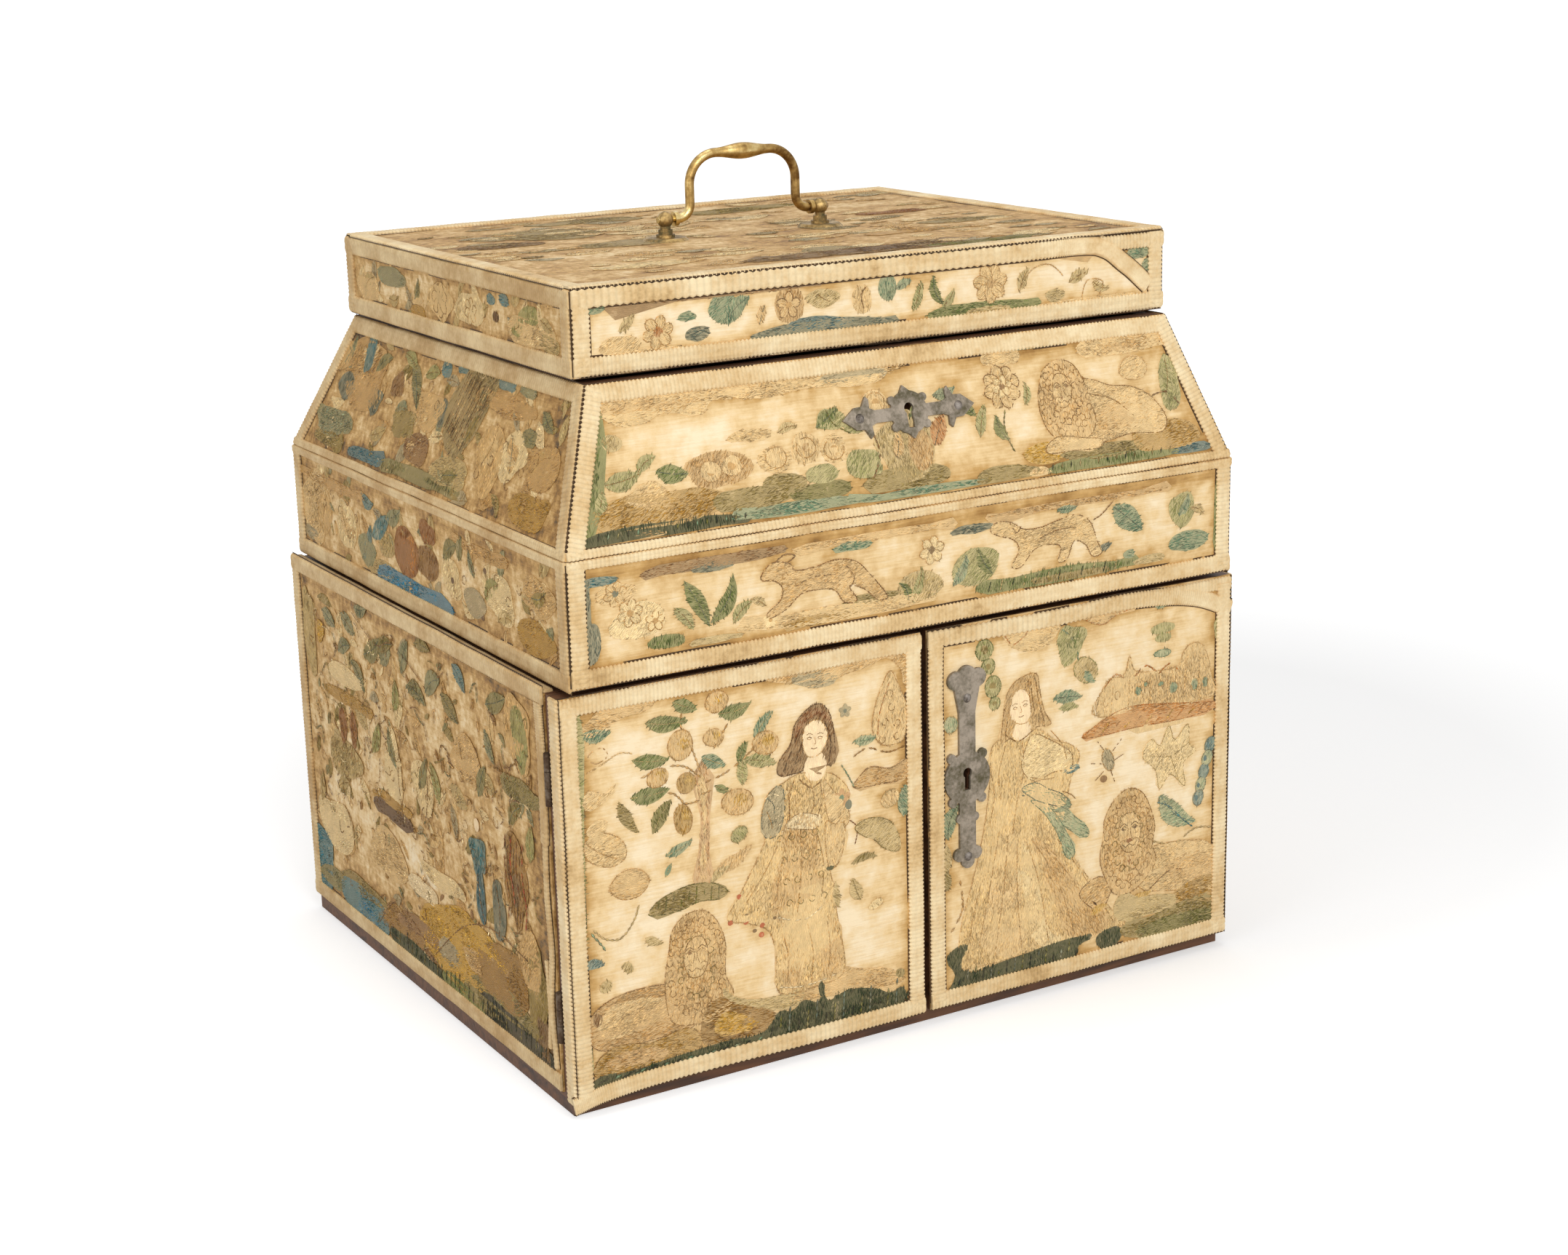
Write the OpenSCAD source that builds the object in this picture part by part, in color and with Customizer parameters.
// Embroidered casket: a wooden cabinet covered with stitched satin panels and edged with braid.
// Two doors hide six drawers, the sloping upper case lifts over a divided well,
// and a shallow lid with a brass bail closes the compartment at the top.
// Millimetres, Z up, the front faces -Y, the origin is the middle of the footprint.

/* [Lower carcase] */
// Width over the bare boards of the lower carcase
case_w = 276; // [250:1:310]
// Depth from the bare front of the doors to the bare back board
case_d = 236; // [215:1:260]
// Height of the top edge of the lower carcase
case_top = 147; // [135:1:165]
// Thickness of the base board
base_t = 4.5; // [3:0.5:6]
// How far the base board stays behind the bare front of the doors
base_set = 3; // [1:0.5:6]
// Thickness of the side and back boards
board_t = 8; // [7:0.5:9]
// Height of the bare strip of board under the covering of the sides and the back
side_bare = 2; // [1:0.5:4]

/* [Doors] */
// Thickness of a door board
door_t = 7.5; // [7:0.5:9]
// Sideways place of the line where the doors meet
door_meet_x = 2; // [-6:0.5:6]
// Gap between the two doors
door_gap = 2.8; // [2:0.2:3.4]
// Air between the backs of the doors and the carcase edges
door_air = 1; // [0.9:0.1:1.4]
// Gap between the base board and the lower edges of the doors
door_foot_gap = 0.8; // [0.6:0.1:2]
// Height of the keyhole in the right door
door_key_z = 90.8; // [86:0.2:94]
// Distance of the keyhole from the line where the doors meet
door_key_in = 17.3; // [15.8:0.1:20]
// Travel of the door bolt
door_bolt_throw = 6; // [5:0.5:7]

/* [Drawers] */
// Thickness of the upright board between the two columns of drawers
partition_t = 6; // [4:0.5:8]
// Thickness of a shelf between two drawers
shelf_t = 4; // [3:0.5:5]
// Distance of the drawer fronts behind the hinge line of the doors
drawer_recess = 12.5; // [12:0.5:15]
// Thickness of a drawer front
drawer_front_t = 6; // [5:0.5:8]
// Thickness of the sides and back of a drawer
drawer_wall = 4; // [3:0.5:5]
// Thickness of the bottom of a drawer
drawer_floor = 3; // [2:0.5:4]
// Air round a drawer in its place
drawer_air = 0.6; // [0.4:0.1:1]
// Air under a drawer
drawer_lift = 0.3; // [0.2:0.1:0.4]
// Air behind a drawer
drawer_end_air = 2; // [1:0.5:6]
// Radius of a drawer knob
knob_r = 3.2; // [2.5:0.1:4]
// Length of a drawer knob
knob_len = 8; // [6:0.5:8.5]

/* [Well] */
// Height of the top of the drawer space
drawers_top = 103; // [102:1:108]
// Thickness of the floor of the well
well_t = 5; // [4:0.5:6]
// Thickness of the front board of the well
well_front_t = 8; // [6:0.5:10]
// Thickness of the lining boards that stand inside the well
lining_t = 5; // [4.5:0.5:7]
// Thickness of the lip that rises inside the upper case
lip_t = 2.5; // [1.5:0.5:3]
// Height of that lip above the carcase edge
lip_h = 5; // [3.5:0.5:8]
// Thickness of the dividers in the well
divider_t = 3; // [2:0.5:4]
// Height of the dividers above the well floor
divider_h = 34; // [15:1:36]
// Depth of the row of compartments at the back of the well
rear_bay_d = 54; // [35:1:80]
// Number of compartments at the back of the well
rear_bays = 4; // [2:1:6]
// Number of compartments at the front of the well
front_bays = 3; // [2:1:5]

/* [Upper case] */
// Gap between the lower carcase and the upper case
upper_gap = 3; // [2.6:0.2:5]
// Width over the bare boards of the upper case
upper_w = 268; // [244:1:272]
// How far the front of the upper case stands before the doors
upper_proud = 3; // [0:0.5:5]
// Height of the upright band
band_h = 42.3; // [34:0.5:55]
// Height of the sloping part
slope_h = 52.2; // [46:0.5:65]
// How far the sides lean in
slope_side_in = 18; // [14:0.5:24]
// How far the front leans in
slope_front_in = 17; // [14:0.5:20]
// How far the back leans in
slope_back_in = 30; // [16:0.5:36]
// Thickness of the boards of the upper case
upper_t = 6; // [5:0.5:6]
// Thickness of the floor of the upper compartment
floor_t = 6; // [4:0.5:8]

/* [Lid] */
// Gap between the upper case and the lid
lid_gap = 1.7; // [1.6:0.1:3]
// How far the lid stands over the sides of the upper case
lid_over = 2; // [0:0.5:4]
// How far the front of the lid stays behind the top of the slope
lid_set = 4; // [2:0.5:4.5]
// Height of the rim of the lid under its top board
rim_h = 21.8; // [18:0.2:34]
// Thickness of the rim boards
rim_t = 6; // [5:0.5:8]
// Thickness of the top board
lid_top_t = 6; // [4:0.5:8]
// Thickness of the looking glass inside the lid
glass_t = 2.5; // [1.5:0.5:4]
// Margin round the looking glass
glass_margin = 14; // [6:1:30]

/* [Covering] */
// Thickness of the satin panels
satin_t = 0.8; // [0.5:0.1:1]
// Thickness of the braid
braid_t = 1.2; // [0.8:0.1:1.2]
// Width of the braid
braid_w = 6.5; // [4:0.5:9]
// Part of the braid at the bend that lies on the upright band
bend_low = 3.3; // [2:0.1:5]

/* [Hinges] */
// Radius of the knuckles of the door hinges
door_knuckle_r = 1.3; // [1.2:0.1:1.4]
// Distance of the door hinge pins outside the side boards
door_pin_out = 1; // [0.9:0.1:1.1]
// Length of a door hinge
door_hinge_l = 18; // [12:1:26]
// Distance of the door hinges from the lower and upper ends of the doors
door_hinge_in = 20; // [12:1:30]
// Width of a hinge leaf on the doors
door_leaf_w = 8; // [6:0.5:8]
// Thickness of a door hinge leaf
door_leaf_t = 0.8; // [0.7:0.1:1]
// Radius of the knuckles of the two lid hinges and the two case hinges
lid_knuckle_r = 1.3; // [1.2:0.1:1.4]
// Length of a lid or case hinge
lid_hinge_l = 26; // [18:1:40]
// Distance of the lid and case hinges from the middle
lid_hinge_x = 70; // [40:1:85]
// Width of a lid or case hinge leaf
lid_leaf_w = 8; // [6:0.5:8]
// Radius of every hinge pin
pin_r = 0.6; // [0.5:0.05:0.65]

/* [Locks] */
// Sideways place of the keyhole in the slope
lid_key_x = 1.3; // [-20:0.1:20]
// Height of that keyhole above the bend
lid_key_h = 30.5; // [26:0.5:32]
// Thickness of the lock plates
plate_t = 1.2; // [0.8:0.1:1.2]
// Travel of the lid bolt
lid_bolt_throw = 7; // [6:0.5:8]

/* [Handle] */
// Sideways place of the middle of the handle
handle_x = -1.6; // [-10:0.1:10]
// Place of the handle from front to back
handle_y = -8; // [-20:0.5:10]
// Distance between the two handle posts
post_gap = 65.4; // [62:0.2:75]
// Radius of a rose under a post
rose_r = 8.5; // [6:0.1:10]
// Thickness of a rose
rose_t = 1.2; // [0.8:0.1:2]
// Height of the pivot above the roses
pivot_h = 6.3; // [5.2:0.1:8]
// Radius of the ball on a post
ball_r = 3; // [2.8:0.1:3.6]
// Radius of the foot of a post
post_foot_r = 3.4; // [2.6:0.1:4]
// Height of the foot of a post
post_foot_h = 1; // [0.6:0.1:1.4]
// Radius of the ring on a post
post_ring_r = 2.6; // [2.2:0.1:3]
// Radius of the neck of a post
post_neck_r = 1.9; // [1.6:0.1:2.1]
// Height of the grip above the pivot
bail_h = 22.5; // [19:0.5:30]
// Distance between the two legs of the bail
bail_w = 44.5; // [40:0.1:46]
// Radius of the bail's rod
bail_r = 1.7; // [1.4:0.1:1.9]
// Radius of the grip at its middle
grip_r = 3; // [2.2:0.1:3.2]
// Radius of the bail's pivots
pivot_r = 1.2; // [0.9:0.1:1.3]

/* [Hidden] */
$fn = 48;

// Colours of the materials
wood = "saddlebrown";
pale_wood = "burlywood";
satin = "wheat";
trim = "blanchedalmond";
iron = "dimgray";
brass = "goldenrod";

// Planes of the lower carcase
side_x = case_w / 2;
front_y = -case_d / 2;
back_y = case_d / 2;
door_back_y = front_y + door_t;
case_front_y = door_back_y + door_air;
inner_x = side_x - board_t;
inner_back_y = back_y - board_t;
well_z = drawers_top + well_t;

// Hinge line of the doors
door_pin_x = side_x + door_pin_out;
door_pin_y = door_back_y + door_air / 2;
knuckle_air = 0.3;
knuckle_end_air = 0.2;
pin_air = 0.05;
leaf_air = 0.1;

// Planes of the doors
door_z0 = base_t + door_foot_gap;
door_z1 = case_top;
door_edge = side_x + 0.6 * door_pin_out;
door_left_x = [-door_edge, door_meet_x - door_gap / 2];
door_right_x = [door_meet_x + door_gap / 2, door_edge];
door_hinge_z = [door_z0 + door_hinge_in, door_z1 - door_hinge_in - door_hinge_l];
// Bare stretch of a door's outer edge beside the hinge line
edge_bare = 1.5;

// Air in a glued joint between two boards of one frame
glue = 0.05;

// Drawer spaces: the near and far sides of each column, and the height of a row
rows = 3;
drawer_front_y = door_pin_y + drawer_recess;
drawer_columns = [
  [-inner_x, door_meet_x - partition_t / 2],
  [door_meet_x + partition_t / 2, inner_x]
];
row_h = (drawers_top - base_t - (rows - 1) * shelf_t) / rows;

// Planes of the upper case, as half width, front and back at a height
upper_z0 = case_top + upper_gap;
bend_z = upper_z0 + band_h;
slope_z = bend_z + slope_h;
upper_front_y = front_y - upper_proud;
bend_rect = [upper_w / 2, upper_front_y, back_y];
slope_rect = [
  upper_w / 2 - slope_side_in, upper_front_y + slope_front_in, back_y - slope_back_in
];
slope_angle = atan2(slope_front_in, slope_h);

// Planes of the lid
lid_z0 = slope_z + lid_gap;
lid_top_z = lid_z0 + rim_h + lid_top_t;
lid_rect = [slope_rect[0] + lid_over, slope_rect[1] + lid_set, slope_rect[2]];

// The skins of satin and braid, as offsets outwards from the bare boards
satin_out = -satin_t;
braid_out = -(satin_t + braid_t);
// Distance from a corner at which a strip is cut square and not mitred
square_end = 0.01;
// The side skins start behind the knuckles of the door hinges
skin_start_y = case_front_y + 1;
case_rect = [side_x, skin_start_y, back_y];
skin_z0 = base_t + side_bare;

// Hinge lines of the upper case and the lid
lift_pin = [back_y - braid_out + lid_knuckle_r + leaf_air, case_top + upper_gap / 2];
lid_pin = [slope_rect[2] - braid_out + lid_knuckle_r + leaf_air, slope_z + lid_gap / 2];

// Locks
lock_w = 26;
lock_h = 27;
lock_t = 6;
lock_proud = 0.5;
bolt_t = 2;
bolt_h = 8;
bolt_air = 0.3;
door_key_x = door_meet_x + door_key_in;
door_lock_z0 = door_key_z - lock_h + 10;
door_bolt_z = door_lock_z0 + 10;
door_lock_y = door_back_y + lock_proud - lock_t;
door_bolt_y = door_lock_y + lock_t / 2;
door_bolt_l = 20;
mortise = door_bolt_throw + 1;

// The upright part of the lid lock stands just behind the inner edge of the slope
staple_w = 5;
staple_t = 3;
staple_air = 0.9;
staple_drop = 14.3;
staple_front_y = slope_rect[1] + upper_t + 1.5;
staple_mid_y = staple_front_y + staple_w / 2;
staple_z0 = lid_z0 - 1 - staple_drop;
lid_lock_half = 17;
lid_lock_z0 = bend_z + lid_key_h - 11;
lid_lock_z1 = slope_z - 1.5;
lid_lock_back_y = staple_front_y + staple_w + 1.5;
lid_bolt_z = staple_z0 + 4;
lid_bolt_h = 3.4;
lid_bolt_l = 12;

// Handle
lid_skin_z = lid_top_z + satin_t;
rose_z = lid_skin_z + rose_t;
pivot_z = rose_z + pivot_h;
grip_z = pivot_z + bail_h;
post_ring_h = 1.8;
spindle_steps = 8;
foot_bend_r = 5;
shoulder_r = 11;
collar_r = 2.6;
collar_l = 1.6;
leg_x = bail_w / 2;
post_x = post_gap / 2;

// Corner number k of a rectangle [half width, front, back], moved in by inset.
// The corners run from front left to front right, back right and back left.
function corner(rect, k, inset) =
  [(k == 0 || k == 3 ? -1 : 1) * (rect[0] - inset), k < 2 ? rect[1] + inset : rect[2] - inset];
// Face f runs from corner f to the next one. Its direction and its inward normal:
function along(f) = [[1, 0], [0, 1], [-1, 0], [0, -1]][f];
function inward(f) = [[0, 1], [-1, 0], [0, -1], [1, 0]][f];
// A point of face f at distance d from its first corner (end 0) or its last one (end 1).
// At no distance it lies on the mitre.
function on_face(rect, f, end, d, inset) =
  d == 0
    ? corner(rect, (f + end) % 4, inset)
    : corner(rect, (f + end) % 4, 0) + (end == 0 ? d : -d) * along(f) + inset * inward(f);
// The rectangle of the sloping part at a height
function slope_at(z) = bend_rect + (z - bend_z) / slope_h * (slope_rect - bend_rect);

// A flat strip on an upright face, between two places [end, distance] and two heights
module upright_strip(rect, f, from, to, z0, z1, out, inset) {
  translate([0, 0, z0])
    linear_extrude(z1 - z0)
      polygon([
        on_face(rect, f, from[0], from[1], out),
        on_face(rect, f, to[0], to[1], out),
        on_face(rect, f, to[0], to[1], inset),
        on_face(rect, f, from[0], from[1], inset)
      ]);
}

// The same on a sloping face of the upper case
module sloping_strip(f, from, to, z0, z1, out, inset) {
  polyhedron(
    points = [
      for (z = [z0, z1])
        for (p = [[from, out], [to, out], [to, inset], [from, inset]])
          concat(on_face(slope_at(z), f, p[0][0], p[0][1], p[1]), [z])
    ],
    faces = [
      [0, 1, 2, 3], [7, 6, 5, 4], [0, 4, 5, 1], [1, 5, 6, 2], [2, 6, 7, 3], [3, 7, 4, 0]
    ]
  );
}

// Braid along the four edges of an upright face. The distances in ends are 0 for an end
// that is mitred round the corner, and square_end for one that is cut square.
module framed_face(rect, f, z0, z1, ends = [0, 0]) {
  from = [0, ends[0]];
  to = [1, ends[1]];
  upright_strip(rect, f, from, to, z0, z0 + braid_w, braid_out, satin_out);
  upright_strip(rect, f, from, to, z1 - braid_w, z1, braid_out, satin_out);
  upright_strip(rect, f, from, [0, braid_w], z0 + braid_w, z1 - braid_w, braid_out, satin_out);
  upright_strip(rect, f, [1, braid_w], to, z0 + braid_w, z1 - braid_w, braid_out, satin_out);
}

// A box between two corners
module block(low, high) {
  translate(low) cube(high - low);
}

// Lower carcase

module base_board() {
  color(wood)
    block([-side_x, front_y + base_set, 0], [side_x, back_y, base_t]);
}

// Hole in a board for the knuckles of the door hinge on one side
module door_knuckle_clearance(side) {
  for (z = door_hinge_z)
    translate([side * door_pin_x, door_pin_y, z - knuckle_air])
      cylinder(r = door_knuckle_r + knuckle_air, h = door_hinge_l + 2 * knuckle_air);
}

// Bed for a door hinge leaf, half sunk in the board behind or before the hinge line
module door_leaf_bed(side, way) {
  for (z = door_hinge_z)
    translate([side * door_pin_x, door_pin_y, z])
      mirror([side > 0 ? 1 : 0, 0, 0])
        mirror([0, way < 0 ? 1 : 0, 0])
          block([0, leaf_air, 0], [door_leaf_w, leaf_air + door_leaf_t, door_hinge_l]);
}

module side_board(side) {
  color(wood)
    difference() {
      block(
        [side > 0 ? inner_x : -side_x, case_front_y, base_t],
        [side > 0 ? side_x : -inner_x, inner_back_y, case_top]
      );
      door_knuckle_clearance(side);
      door_leaf_bed(side, 1);
    }
}

module side_left_board() {
  side_board(-1);
}

module side_right_board() {
  side_board(1);
}

module back_board() {
  color(wood)
    block([-side_x, inner_back_y, base_t], [side_x, back_y, case_top]);
}

module centre_partition() {
  color(pale_wood)
    block(
      [door_meet_x - partition_t / 2, drawer_front_y, base_t],
      [door_meet_x + partition_t / 2, inner_back_y, drawers_top]
    );
}

module drawer_shelves() {
  color(pale_wood)
    for (column = drawer_columns)
      for (row = [1 : rows - 1])
        block(
          [column[0], drawer_front_y, base_t + row * row_h + (row - 1) * shelf_t],
          [column[1], inner_back_y, base_t + row * (row_h + shelf_t)]
        );
}

module well_floor() {
  color(pale_wood)
    block([-inner_x, case_front_y, drawers_top], [inner_x, inner_back_y, well_z]);
}

module well_front_board() {
  color(wood)
    block([-inner_x, case_front_y, well_z], [inner_x, case_front_y + well_front_t, case_top]);
}

// Inner space of the well
well_x = inner_x - lining_t;
well_front_y = case_front_y + well_front_t + lining_t;
well_back_y = inner_back_y - lining_t;

// Lining boards with a thin lip that rises inside the upper case and closes the gap
module well_lining() {
  lip_z = case_top + lip_h;
  end_x = well_x - glue;
  color(pale_wood) {
    for (side = [-1, 1])
      mirror([side > 0 ? 1 : 0, 0, 0]) {
        block([-inner_x, well_front_y - lining_t, well_z], [-well_x, inner_back_y, case_top]);
        block([-well_x - lip_t, well_front_y - lip_t, well_z], [-well_x, well_back_y + lip_t, lip_z]);
      }
    block([-end_x, well_front_y - lining_t, well_z], [end_x, well_front_y, case_top]);
    block([-end_x, well_front_y - lip_t, well_z], [end_x, well_front_y, lip_z]);
    block([-end_x, well_back_y, well_z], [end_x, inner_back_y, case_top]);
    block([-end_x, well_back_y, well_z], [end_x, well_back_y + lip_t, lip_z]);
  }
}

// One long divider and short ones before and behind it
rear_wall_y = well_back_y - rear_bay_d - divider_t;

module well_dividers() {
  color(pale_wood) {
    block([-well_x, rear_wall_y, well_z], [well_x, rear_wall_y + divider_t, well_z + divider_h]);
    for (k = [1 : rear_bays - 1])
      translate([-well_x + k * 2 * well_x / rear_bays - divider_t / 2, 0, 0])
        block(
          [0, rear_wall_y + divider_t + glue, well_z],
          [divider_t, well_back_y, well_z + divider_h]
        );
    for (k = [1 : front_bays - 1])
      translate([-well_x + k * 2 * well_x / front_bays - divider_t / 2, 0, 0])
        block([0, well_front_y, well_z], [divider_t, rear_wall_y - glue, well_z + divider_h]);
  }
}

module side_left_satin() {
  color(satin)
    upright_strip(case_rect, 3, [0, 0], [1, square_end], skin_z0, case_top, satin_out, 0);
}

module side_right_satin() {
  color(satin)
    upright_strip(case_rect, 1, [0, square_end], [1, 0], skin_z0, case_top, satin_out, 0);
}

module back_satin() {
  color(satin)
    upright_strip(case_rect, 2, [0, 0], [1, 0], skin_z0, case_top, satin_out, 0);
}

module carcase_braid() {
  color(trim) {
    framed_face(case_rect, 1, skin_z0, case_top, [square_end, 0]);
    framed_face(case_rect, 2, skin_z0, case_top);
    framed_face(case_rect, 3, skin_z0, case_top, [0, square_end]);
  }
}

// Hinges

// Three knuckles on a line along Z. The middle one belongs to the moving leaf.
module knuckles(moving, r, len) {
  third = len / 3;
  if (moving)
    translate([0, 0, third + knuckle_end_air])
      cylinder(r = r, h = third - 2 * knuckle_end_air);
  else
    for (z = [0, 2 * third])
      translate([0, 0, z]) cylinder(r = r, h = third);
}

// A hinge half along Z with its leaf towards +X and +Y: knuckles, leaf and pin hole
module hinge_half(moving, r, len, leaf_w, leaf_t) {
  third = len / 3;
  difference() {
    union() {
      knuckles(moving, r, len);
      difference() {
        block([0, leaf_air, 0], [leaf_w, leaf_air + leaf_t, len]);
        if (moving)
          for (z = [-1, 2 * third - knuckle_end_air])
            block([-1, 0, z], [r + knuckle_air, r + 1, z + third + knuckle_end_air + 1]);
        else
          block(
            [-1, 0, third - knuckle_end_air / 2],
            [r + knuckle_air, r + 1, 2 * third + knuckle_end_air / 2]
          );
      }
    }
    translate([0, 0, -1]) cylinder(r = pin_r + pin_air, h = len + 2);
  }
}

// The door hinge halves: way 1 lies on the carcase edge, way -1 on the door
module door_hinge_halves(side, way) {
  for (z = door_hinge_z)
    translate([side * door_pin_x, door_pin_y, z])
      mirror([side > 0 ? 1 : 0, 0, 0])
        mirror([0, way < 0 ? 1 : 0, 0])
          hinge_half(way < 0, door_knuckle_r, door_hinge_l, door_leaf_w, door_leaf_t);
}

// Lid and case hinges lie along X, with their leaves towards -Y, up or down
module cross_hinge_halves(pin, moving, leaf_t) {
  for (side = [-1, 1])
    translate([side * lid_hinge_x - lid_hinge_l / 2, pin[0], pin[1]])
      rotate([90, 0, 90])
        mirror([1, 0, 0])
          mirror([0, moving ? 0 : 1, 0])
            hinge_half(moving, lid_knuckle_r, lid_hinge_l, lid_leaf_w, leaf_t);
}

module cross_hinge_pins(pin) {
  for (side = [-1, 1])
    translate([side * lid_hinge_x - lid_hinge_l / 2, pin[0], pin[1]])
      rotate([0, 90, 0]) cylinder(r = pin_r, h = lid_hinge_l);
}

module carcase_hinge_leaves() {
  color(iron) {
    for (side = [-1, 1])
      door_hinge_halves(side, 1);
    cross_hinge_halves(lift_pin, false, upper_gap / 2 - leaf_air);
  }
}

module carcase_hinge_pins() {
  color(iron) {
    for (side = [-1, 1])
      for (z = door_hinge_z)
        translate([side * door_pin_x, door_pin_y, z]) cylinder(r = pin_r, h = door_hinge_l);
    cross_hinge_pins(lift_pin);
  }
}

module upper_hinge_leaves() {
  color(iron)
    cross_hinge_halves(lift_pin, true, upper_gap / 2 - leaf_air);
}

// The pins of the lid hinges are peened into these leaves
module lid_hinge_frame_leaves() {
  color(iron) {
    cross_hinge_halves(lid_pin, false, lid_gap / 2 - leaf_air);
    cross_hinge_pins(lid_pin);
  }
}

module lid_hinge_leaves() {
  color(iron)
    cross_hinge_halves(lid_pin, true, lid_gap / 2 - leaf_air);
}

// Doors

// Keyhole outline, point downwards
module keyhole() {
  translate([0, 1.8]) circle(r = 1.9);
  translate([-1.2, -4.6]) square([2.4, 6.4]);
}

module door_keyhole_cut() {
  translate([door_key_x, door_back_y + lock_t, door_key_z])
    rotate([90, 0, 0]) linear_extrude(3 * door_t) keyhole();
}

module door_board(span) {
  block([span[0], front_y, door_z0], [span[1], door_back_y, door_z1]);
}

// Channel of the bolt through the lock, the door's edge and into the other door
module door_bolt_channel(x0, x1) {
  block(
    [x0, door_bolt_y - bolt_t / 2 - bolt_air, door_bolt_z - bolt_h / 2 - bolt_air],
    [x1, door_bolt_y + bolt_t / 2 + bolt_air, door_bolt_z + bolt_h / 2 + bolt_air]
  );
}

module door_left_board() {
  color(wood)
    difference() {
      door_board(door_left_x);
      door_knuckle_clearance(-1);
      door_leaf_bed(-1, -1);
      door_bolt_channel(door_left_x[1] - mortise, door_left_x[1] + 1);
    }
}

module door_right_board() {
  color(wood)
    difference() {
      door_board(door_right_x);
      door_knuckle_clearance(1);
      door_leaf_bed(1, -1);
      block(
        [door_key_x - lock_w / 2, door_lock_y, door_lock_z0],
        [door_key_x + lock_w / 2, door_back_y + 1, door_lock_z0 + lock_h]
      );
      door_bolt_channel(door_right_x[0] - 1, door_key_x);
      door_keyhole_cut();
    }
}

module door_satin(span) {
  block([span[0], front_y + satin_out, door_z0], [span[1], front_y, door_z1]);
}

module door_left_satin() {
  color(satin) door_satin(door_left_x);
}

module door_right_satin() {
  color(satin)
    difference() {
      door_satin(door_right_x);
      door_keyhole_cut();
    }
}

// Braid along the four edges of a door's front, and over the thickness of its outer edge
module door_braid(span, side) {
  y0 = front_y + braid_out;
  y1 = front_y + satin_out;
  mirror([side > 0 ? 1 : 0, 0, 0])
    block([-door_edge - braid_t, y0, door_z0], [-door_edge, door_back_y - edge_bare, door_z1]);
  for (z = [door_z0, door_z1 - braid_w])
    block([span[0], y0, z], [span[1], y1, z + braid_w]);
  for (x = [span[0], span[1] - braid_w])
    block([x, y0, door_z0 + braid_w], [x + braid_w, y1, door_z1 - braid_w]);
}

module door_left_braid() {
  color(trim) door_braid(door_left_x, -1);
}

module door_right_braid() {
  color(trim) door_braid(door_right_x, 1);
}

module door_left_hinge_leaves() {
  color(iron) door_hinge_halves(-1, -1);
}

module door_right_hinge_leaves() {
  color(iron) door_hinge_halves(1, -1);
}

// Tall lock plate: a round with cusps, two necks, a crown at the top, a trefoil at the foot
plate_round_r = 9.6;
plate_neck = 6.8;
crown_h = 36.4;
crown_nail_h = 29.5;
foot_nail_h = -29.6;

module door_plate_outline() {
  circle(r = plate_round_r);
  for (side = [-1, 1]) {
    translate([side * 6.6, 8]) circle(r = 1.8);
    translate([side * 6.2, -8.4]) circle(r = 1.8);
    translate([side * 4.7, crown_h]) circle(r = 3.4);
    translate([side * 3.6, -28.6]) circle(r = 2.4);
    translate([side * 3.1, -15]) circle(r = 1.7);
  }
  translate([-plate_neck / 2, foot_nail_h]) square([plate_neck, crown_nail_h - foot_nail_h]);
  polygon([[-3.4, 24], [3.4, 24], [5.6, 34.5], [-5.6, 34.5]]);
  translate([0, crown_h + 1]) circle(r = 4);
  translate([0, -31.2]) circle(r = 2.8);
}

module door_escutcheon() {
  color(iron)
    translate([door_key_x, front_y + satin_out, door_key_z])
      rotate([90, 0, 0])
        linear_extrude(plate_t)
          difference() {
            door_plate_outline();
            keyhole();
          }
}

// A domed nail head
module nail_head() {
  rotate_extrude()
    intersection() {
      translate([0, -1.1]) circle(r = 2);
      square([2, 1]);
    }
}

module door_escutcheon_nails() {
  color("silver")
    for (h = [crown_nail_h, foot_nail_h])
      translate([door_key_x, front_y + satin_out - plate_t, door_key_z + h])
        rotate([90, 0, 0]) nail_head();
}

module door_lock_case() {
  color(iron)
    difference() {
      block(
        [door_key_x - lock_w / 2, door_lock_y, door_lock_z0],
        [door_key_x + lock_w / 2, door_lock_y + lock_t, door_lock_z0 + lock_h]
      );
      door_bolt_channel(door_key_x - lock_w, door_right_x[0] + 1.5 + door_bolt_l);
      door_keyhole_cut();
    }
}

module door_lock_bolt() {
  color("silver")
    block(
      [door_right_x[0] + 0.5, door_bolt_y - bolt_t / 2, door_bolt_z - bolt_h / 2],
      [door_right_x[0] + 0.5 + door_bolt_l, door_bolt_y + bolt_t / 2, door_bolt_z + bolt_h / 2]
    );
}

// Upper case

module band_front_board() {
  color(wood)
    block([-upper_w / 2, upper_front_y, upper_z0], [upper_w / 2, upper_front_y + upper_t, bend_z]);
}

module band_side_boards() {
  color(wood)
    for (side = [-1, 1])
      mirror([side > 0 ? 1 : 0, 0, 0])
        block(
          [-upper_w / 2, upper_front_y + upper_t, upper_z0],
          [-upper_w / 2 + upper_t, back_y - upper_t, bend_z]
        );
}

module band_back_board() {
  color(wood)
    block([-upper_w / 2, back_y - upper_t, upper_z0], [upper_w / 2, back_y, bend_z]);
}

// Places a shape drawn with X sideways, Y up the slope and Z out of it
module on_slope() {
  translate([lid_key_x, upper_front_y, bend_z]) rotate([90 - slope_angle, 0, 0]) children();
}

module lid_keyhole_cut() {
  translate([lid_key_x, upper_front_y - satin_t - 1, bend_z + lid_key_h])
    rotate([90, 0, 0])
      mirror([0, 0, 1]) linear_extrude(22) keyhole();
}

module slope_board(f) {
  sloping_strip(f, [0, 0], [1, 0], bend_z, slope_z, 0, upper_t);
}

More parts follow.
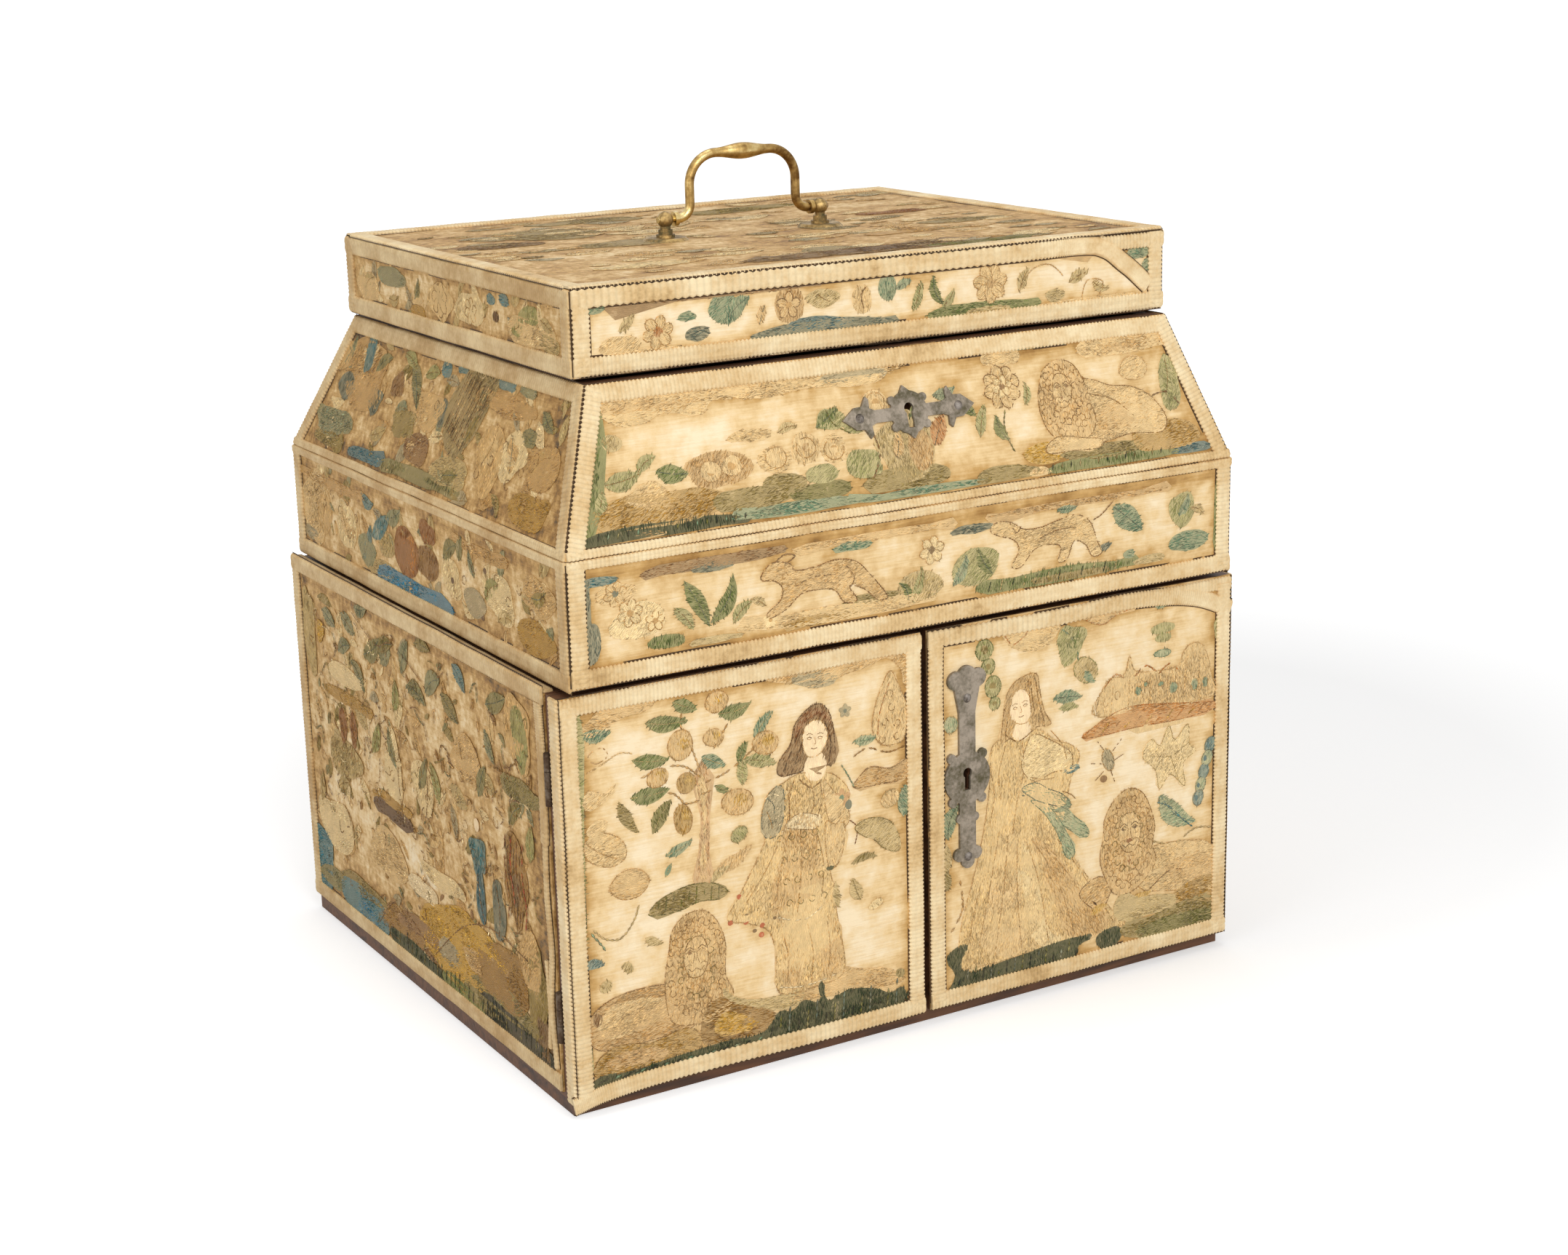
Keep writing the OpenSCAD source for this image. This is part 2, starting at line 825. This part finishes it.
module slope_front_board() {
  color(wood)
    difference() {
      slope_board(0);
      lid_keyhole_cut();
    }
}

module slope_side_boards() {
  color(wood)
    for (f = [1, 3])
      slope_board(f);
}

module slope_back_board() {
  color(wood) slope_board(2);
}

module compartment_floor() {
  color(pale_wood)
    block(
      [-upper_w / 2 + upper_t, upper_front_y + upper_t, bend_z - floor_t],
      [upper_w / 2 - upper_t, back_y - upper_t, bend_z]
    );
}

module upper_satin() {
  color(satin)
    for (f = [0 : 3]) {
      upright_strip(bend_rect, f, [0, 0], [1, 0], upper_z0, bend_z, satin_out, 0);
      difference() {
        sloping_strip(f, [0, 0], [1, 0], bend_z, slope_z, satin_out, 0);
        if (f == 0)
          lid_keyhole_cut();
      }
    }
}

bend_high = braid_w - bend_low;

module upper_braid() {
  color(trim)
    for (f = [0 : 3]) {
      upright_strip(
        bend_rect, f, [0, 0], [1, 0], upper_z0, upper_z0 + braid_w, braid_out, satin_out
      );
      upright_strip(bend_rect, f, [0, 0], [1, 0], bend_z - bend_low, bend_z, braid_out, satin_out);
      sloping_strip(f, [0, 0], [1, 0], bend_z, bend_z + bend_high, braid_out, satin_out);
      sloping_strip(f, [0, 0], [1, 0], slope_z - braid_w, slope_z, braid_out, satin_out);
      for (ends = [[[0, 0], [0, braid_w]], [[1, braid_w], [1, 0]]]) {
        upright_strip(
          bend_rect, f, ends[0], ends[1],
          upper_z0 + braid_w, bend_z - bend_low, braid_out, satin_out
        );
        sloping_strip(
          f, ends[0], ends[1], bend_z + bend_high, slope_z - braid_w, braid_out, satin_out
        );
      }
    }
}

// Wide lock plate: a round with a point above and below, and an arrow at each end
arrow_x = 26.7;
arrow_nail_x = 20;

module slope_plate_outline() {
  circle(r = 7.4);
  polygon([[-3.4, 5.6], [3.4, 5.6], [-1.2, 9.4]]);
  polygon([[-3.4, -5.6], [0.4, -9.2], [3.4, -5.6]]);
  for (side = [-1, 1]) {
    mirror([side > 0 ? 0 : 1, 0]) {
      for (up = [-1, 1])
        translate([6.3, up * 4.6]) circle(r = 1.5);
      translate([5, -2.2]) square([12, 4.4]);
      polygon([
        [arrow_x, 0], [21.6, 3.8], [18.4, 4], [16.6, 7.2], [15.4, 6], [15.6, 3], [13.6, 2.2],
        [13.6, -2.2], [15.6, -3], [15.4, -6], [16.6, -7.2], [18.4, -4], [21.6, -3.8]
      ]);
    }
  }
}

// Distance of the keyhole up the slope
lid_key_v = lid_key_h / cos(slope_angle);
satin_lift = satin_t * cos(slope_angle);

module slope_escutcheon() {
  color(iron)
    difference() {
      on_slope()
        translate([0, lid_key_v, satin_lift]) linear_extrude(plate_t) slope_plate_outline();
      lid_keyhole_cut();
    }
}

module slope_escutcheon_nails() {
  color("silver")
    on_slope()
      for (side = [-1, 1])
        translate([side * arrow_nail_x, lid_key_v, satin_lift + plate_t]) nail_head();
}

// Inner face of the front slope at a height
function slope_inner_y(z) = slope_at(z)[1] + upper_t;

module lid_bolt_channel(x0, x1) {
  block(
    [lid_key_x + x0, staple_mid_y - bolt_t / 2 - bolt_air, lid_bolt_z - lid_bolt_h / 2 - bolt_air],
    [lid_key_x + x1, staple_mid_y + bolt_t / 2 + bolt_air, lid_bolt_z + lid_bolt_h / 2 + bolt_air]
  );
}

module lid_lock_case() {
  color(iron)
    difference() {
      translate([lid_key_x - lid_lock_half, 0, 0])
        rotate([90, 0, 90])
          linear_extrude(2 * lid_lock_half)
            polygon([
              [slope_inner_y(lid_lock_z0), lid_lock_z0],
              [lid_lock_back_y, lid_lock_z0],
              [lid_lock_back_y, lid_lock_z1],
              [slope_inner_y(lid_lock_z1), lid_lock_z1]
            ]);
      block(
        [lid_key_x - staple_t / 2 - staple_air, staple_front_y - 1.1, staple_z0 - staple_air],
        [lid_key_x + staple_t / 2 + staple_air, lid_lock_back_y + 1, slope_z]
      );
      lid_bolt_channel(-lid_bolt_l - 5, lid_bolt_throw);
      lid_keyhole_cut();
    }
}

module lid_lock_bolt() {
  tip = -staple_t / 2 - staple_air - 0.3;
  color("silver")
    block(
      [lid_key_x + tip - lid_bolt_l, staple_mid_y - bolt_t / 2, lid_bolt_z - lid_bolt_h / 2],
      [lid_key_x + tip, staple_mid_y + bolt_t / 2, lid_bolt_z + lid_bolt_h / 2]
    );
}

// Lid

module lid_top_board() {
  color(wood)
    block([-lid_rect[0], lid_rect[1], lid_z0 + rim_h], [lid_rect[0], lid_rect[2], lid_top_z]);
}

module lid_rim_boards() {
  color(wood) {
    for (f = [0, 2])
      upright_strip(lid_rect, f, [0, 0], [1, 0], lid_z0, lid_z0 + rim_h, 0, rim_t - glue);
    for (f = [1, 3])
      upright_strip(
        lid_rect, f, [0, rim_t], [1, rim_t], lid_z0, lid_z0 + rim_h, 0, rim_t
      );
  }
}

module lid_satin() {
  color(satin) {
    for (f = [0 : 3])
      upright_strip(lid_rect, f, [0, 0], [1, 0], lid_z0, lid_top_z, satin_out, 0);
    block(
      [-lid_rect[0] - satin_t, lid_rect[1] - satin_t, lid_top_z],
      [lid_rect[0] + satin_t, lid_rect[2] + satin_t, lid_skin_z]
    );
  }
}

module lid_braid() {
  color(trim)
    for (f = [0 : 3]) {
      framed_face(lid_rect, f, lid_z0, lid_skin_z);
      upright_strip(
        lid_rect, f, [0, 0], [1, 0], lid_skin_z, lid_skin_z + braid_t, braid_out, braid_w
      );
    }
}

module lid_looking_glass() {
  color("lightsteelblue")
    block(
      [-lid_rect[0] + rim_t + glass_margin, lid_rect[1] + rim_t + glass_margin,
        lid_z0 + rim_h - glass_t],
      [lid_rect[0] - rim_t - glass_margin, lid_rect[2] - rim_t - glass_margin, lid_z0 + rim_h]
    );
}

// A plate under the rim with a lug that enters the lock, holed for the bolt
module lid_staple() {
  color(iron) {
    difference() {
      union() {
        block(
          [lid_key_x - 9, lid_rect[1] + 0.5, lid_z0 - 1],
          [lid_key_x + 9, staple_front_y + staple_w, lid_z0]
        );
        block(
          [lid_key_x - staple_t / 2, staple_front_y, staple_z0],
          [lid_key_x + staple_t / 2, staple_front_y + staple_w, lid_z0]
        );
      }
      lid_bolt_channel(-staple_t, staple_t);
    }
  }
}

// Handle

module at_posts() {
  for (side = [-1, 1])
    translate([handle_x + side * post_x, handle_y, 0])
      mirror([side > 0 ? 1 : 0, 0, 0]) children();
}

module handle_roses() {
  color(brass)
    at_posts()
      translate([0, 0, lid_skin_z])
        cylinder(r1 = rose_r, r2 = rose_r - 1.2, h = rose_t);
}

// A turned post with a ball at the top, bored through for the pivot of the bail
module handle_posts() {
  color(brass)
    at_posts()
      difference() {
        translate([0, 0, rose_z])
          rotate_extrude()
            union() {
              square([post_foot_r, post_foot_h]);
              square([post_neck_r, pivot_h]);
              translate([0, post_foot_h]) square([post_ring_r, post_ring_h]);
              translate([0, pivot_h]) intersection() {
                circle(r = ball_r);
                translate([0, -ball_r]) square([ball_r, 2 * ball_r]);
              }
            }
        translate([-ball_r - 1, 0, pivot_z])
          rotate([0, 90, 0]) cylinder(r = pivot_r + pin_air, h = 2 * ball_r + 2);
      }
}

// Half of the grip, which swells from the rod to its middle
module spindle_half(len) {
  rotate_extrude()
    polygon(concat(
      [[0, 0]],
      [
        for (k = [0 : spindle_steps])
          [bail_r + (grip_r - bail_r) * (1 - cos(180 * k / spindle_steps)) / 2, len * k / spindle_steps]
      ],
      [[0, len]]
    ));
}

// Half of the bail, from its pivot on the left to the middle of the grip
module bail_half() {
  leg_z0 = pivot_z + foot_bend_r;
  leg_z1 = grip_z - shoulder_r;
  foot_x = -leg_x - foot_bend_r;
  translate([-post_x - ball_r, 0, pivot_z])
    rotate([0, 90, 0]) cylinder(r = pivot_r, h = post_x + ball_r + foot_x);
  translate([-post_x + ball_r + knuckle_air, 0, pivot_z])
    rotate([0, 90, 0]) cylinder(r = collar_r, h = collar_l);
  translate([foot_x, 0, leg_z0])
    rotate([90, 0, 0])
      rotate([0, 0, -90])
        rotate_extrude(angle = 90) translate([foot_bend_r, 0]) circle(r = bail_r);
  translate([-leg_x, 0, leg_z0]) cylinder(r = bail_r, h = leg_z1 - leg_z0);
  translate([-leg_x + shoulder_r, 0, leg_z1])
    rotate([90, 0, 0])
      rotate([0, 0, 90])
        rotate_extrude(angle = 90) translate([shoulder_r, 0]) circle(r = bail_r);
  translate([-leg_x + shoulder_r, 0, grip_z])
    rotate([0, 90, 0]) spindle_half(leg_x - shoulder_r);
}

module handle_bail() {
  color(brass)
    translate([handle_x, handle_y, 0]) {
      bail_half();
      mirror([1, 0, 0]) bail_half();
    }
}

// Drawers

// A drawer of column c and row r, with a turned knob on its front
module drawer(c, r) {
  x0 = drawer_columns[c][0] + drawer_air;
  x1 = drawer_columns[c][1] - drawer_air;
  z0 = base_t + r * (row_h + shelf_t) + drawer_lift;
  z1 = z0 + row_h - drawer_lift - drawer_air;
  y1 = inner_back_y - drawer_end_air;
  color(pale_wood)
    difference() {
      block([x0, drawer_front_y, z0], [x1, y1, z1]);
      block(
        [x0 + drawer_wall, drawer_front_y + drawer_front_t, z0 + drawer_floor],
        [x1 - drawer_wall, y1 - drawer_wall, z1 + 1]
      );
    }
  color(brass)
    translate([(x0 + x1) / 2, drawer_front_y, (z0 + z1) / 2])
      rotate([90, 0, 0]) {
        cylinder(r1 = knob_r, r2 = knob_r / 2, h = knob_len / 3);
        cylinder(r = knob_r / 2, h = knob_len - knob_r / 2);
        translate([0, 0, knob_len / 2]) cylinder(r1 = knob_r / 2, r2 = knob_r, h = knob_len / 4);
        translate([0, 0, knob_len * 3 / 4]) cylinder(r = knob_r, h = knob_len / 4);
      }
}

module drawer_left_low() {
  drawer(0, 0);
}

module drawer_left_mid() {
  drawer(0, 1);
}

module drawer_left_top() {
  drawer(0, 2);
}

module drawer_right_low() {
  drawer(1, 0);
}

module drawer_right_mid() {
  drawer(1, 1);
}

module drawer_right_top() {
  drawer(1, 2);
}

base_board();
side_left_board();
side_right_board();
back_board();
centre_partition();
drawer_shelves();
well_floor();
well_front_board();
well_lining();
well_dividers();
side_left_satin();
side_right_satin();
back_satin();
carcase_braid();
carcase_hinge_leaves();
carcase_hinge_pins();
door_left_board();
door_left_satin();
door_left_braid();
door_left_hinge_leaves();
door_right_board();
door_right_satin();
door_right_braid();
door_right_hinge_leaves();
door_escutcheon();
door_escutcheon_nails();
door_lock_case();
door_lock_bolt();
band_front_board();
band_side_boards();
band_back_board();
slope_front_board();
slope_side_boards();
slope_back_board();
compartment_floor();
upper_satin();
upper_braid();
upper_hinge_leaves();
lid_hinge_frame_leaves();
slope_escutcheon();
slope_escutcheon_nails();
lid_lock_case();
lid_lock_bolt();
lid_top_board();
lid_rim_boards();
lid_satin();
lid_braid();
lid_looking_glass();
lid_staple();
lid_hinge_leaves();
handle_roses();
handle_posts();
handle_bail();
drawer_left_low();
drawer_left_mid();
drawer_left_top();
drawer_right_low();
drawer_right_mid();
drawer_right_top();
